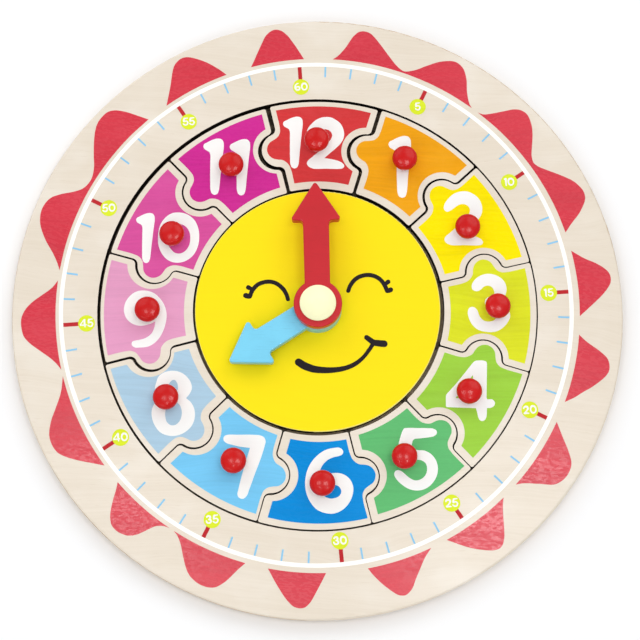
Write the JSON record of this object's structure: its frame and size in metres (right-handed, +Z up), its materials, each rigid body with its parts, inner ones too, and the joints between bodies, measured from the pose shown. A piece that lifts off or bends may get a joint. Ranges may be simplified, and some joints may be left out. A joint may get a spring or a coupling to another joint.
{
  "type": "wooden puzzle clock",
  "caption": "Round wooden teaching clock: sun-ray frame with minute marks, interlocking numbered hour tiles with peg knobs, smiling centre disc and two arrow hands on a pin.",
  "frame": {"origin": "centre of the underside, on the surface that the board lies on", "axes": "+Z up out of the dial along the hands' pin, +Y from the pin towards the 12 tile, +X towards 3"},
  "size_m": [0.3, 0.3, 0.0301],
  "materials": {
    "whitewashed_birch": "thin white wash, printed",
    "face_yellow": "painted, satin",
    "hand_red": "painted, satin",
    "hand_blue": "painted, satin",
    "spacer_blue": "matt",
    "washer_dark": "matt",
    "cap_cream": "gloss",
    "knob_red": "gloss lacquer",
    "steel": "zinc plated",
    "tile_orange": "painted colour field with a bare wood border",
    "tile_yellow": "painted colour field with a bare wood border",
    "tile_lime": "painted colour field with a bare wood border",
    "tile_leaf_green": "painted colour field with a bare wood border",
    "tile_green": "painted colour field with a bare wood border",
    "tile_blue": "painted colour field with a bare wood border",
    "tile_sky_blue": "painted colour field with a bare wood border",
    "tile_pale_blue": "painted colour field with a bare wood border",
    "tile_pink": "painted colour field with a bare wood border",
    "tile_rose": "painted colour field with a bare wood border",
    "tile_magenta": "painted colour field with a bare wood border",
    "tile_red": "painted colour field with a bare wood border"
  },
  "bodies": {
    "board": {"back_board": "whitewashed_birch", "front_frame": "whitewashed_birch", "centre_disc": "face_yellow", "hand_spacer": "spacer_blue", "hand_washer": "washer_dark", "centre_pin": "cap_cream", "back_washer": "steel", "back_screw": "steel"},
    "hour_hand": {"hour_hand": "hand_blue"},
    "minute_hand": {"minute_hand": "hand_red"},
    "tile_01": {"hour_tile_01": "tile_orange", "knob_01": "knob_red"},
    "tile_02": {"hour_tile_02": "tile_yellow", "knob_02": "knob_red"},
    "tile_03": {"hour_tile_03": "tile_lime", "knob_03": "knob_red"},
    "tile_04": {"hour_tile_04": "tile_leaf_green", "knob_04": "knob_red"},
    "tile_05": {"hour_tile_05": "tile_green", "knob_05": "knob_red"},
    "tile_06": {"hour_tile_06": "tile_blue", "knob_06": "knob_red"},
    "tile_07": {"hour_tile_07": "tile_sky_blue", "knob_07": "knob_red"},
    "tile_08": {"hour_tile_08": "tile_pale_blue", "knob_08": "knob_red"},
    "tile_09": {"hour_tile_09": "tile_pink", "knob_09": "knob_red"},
    "tile_10": {"hour_tile_10": "tile_rose", "knob_10": "knob_red"},
    "tile_11": {"hour_tile_11": "tile_magenta", "knob_11": "knob_red"},
    "tile_12": {"hour_tile_12": "tile_red", "knob_12": "knob_red"}
  },
  "joints": [
    {"name": "hour_hand_turn", "type": "hinge", "parent": "board", "child": "hour_hand", "pos_m": [0, 0, 0.0163], "axis": [0, 0, 1], "continuous": true},
    {"name": "minute_hand_turn", "type": "hinge", "parent": "board", "child": "minute_hand", "pos_m": [0, 0, 0.0229], "axis": [0, 0, 1], "continuous": true},
    {"name": "tile_01_lift", "type": "slide", "parent": "board", "child": "tile_01", "axis": [0, 0, 1], "range_m": [0, 0.025]},
    {"name": "tile_02_lift", "type": "slide", "parent": "board", "child": "tile_02", "axis": [0, 0, 1], "range_m": [0, 0.025]},
    {"name": "tile_03_lift", "type": "slide", "parent": "board", "child": "tile_03", "axis": [0, 0, 1], "range_m": [0, 0.025]},
    {"name": "tile_04_lift", "type": "slide", "parent": "board", "child": "tile_04", "axis": [0, 0, 1], "range_m": [0, 0.025]},
    {"name": "tile_05_lift", "type": "slide", "parent": "board", "child": "tile_05", "axis": [0, 0, 1], "range_m": [0, 0.025]},
    {"name": "tile_06_lift", "type": "slide", "parent": "board", "child": "tile_06", "axis": [0, 0, 1], "range_m": [0, 0.025]},
    {"name": "tile_07_lift", "type": "slide", "parent": "board", "child": "tile_07", "axis": [0, 0, 1], "range_m": [0, 0.025]},
    {"name": "tile_08_lift", "type": "slide", "parent": "board", "child": "tile_08", "axis": [0, 0, 1], "range_m": [0, 0.025]},
    {"name": "tile_09_lift", "type": "slide", "parent": "board", "child": "tile_09", "axis": [0, 0, 1], "range_m": [0, 0.025]},
    {"name": "tile_10_lift", "type": "slide", "parent": "board", "child": "tile_10", "axis": [0, 0, 1], "range_m": [0, 0.025]},
    {"name": "tile_11_lift", "type": "slide", "parent": "board", "child": "tile_11", "axis": [0, 0, 1], "range_m": [0, 0.025]},
    {"name": "tile_12_lift", "type": "slide", "parent": "board", "child": "tile_12", "axis": [0, 0, 1], "range_m": [0, 0.025]}
  ]
}
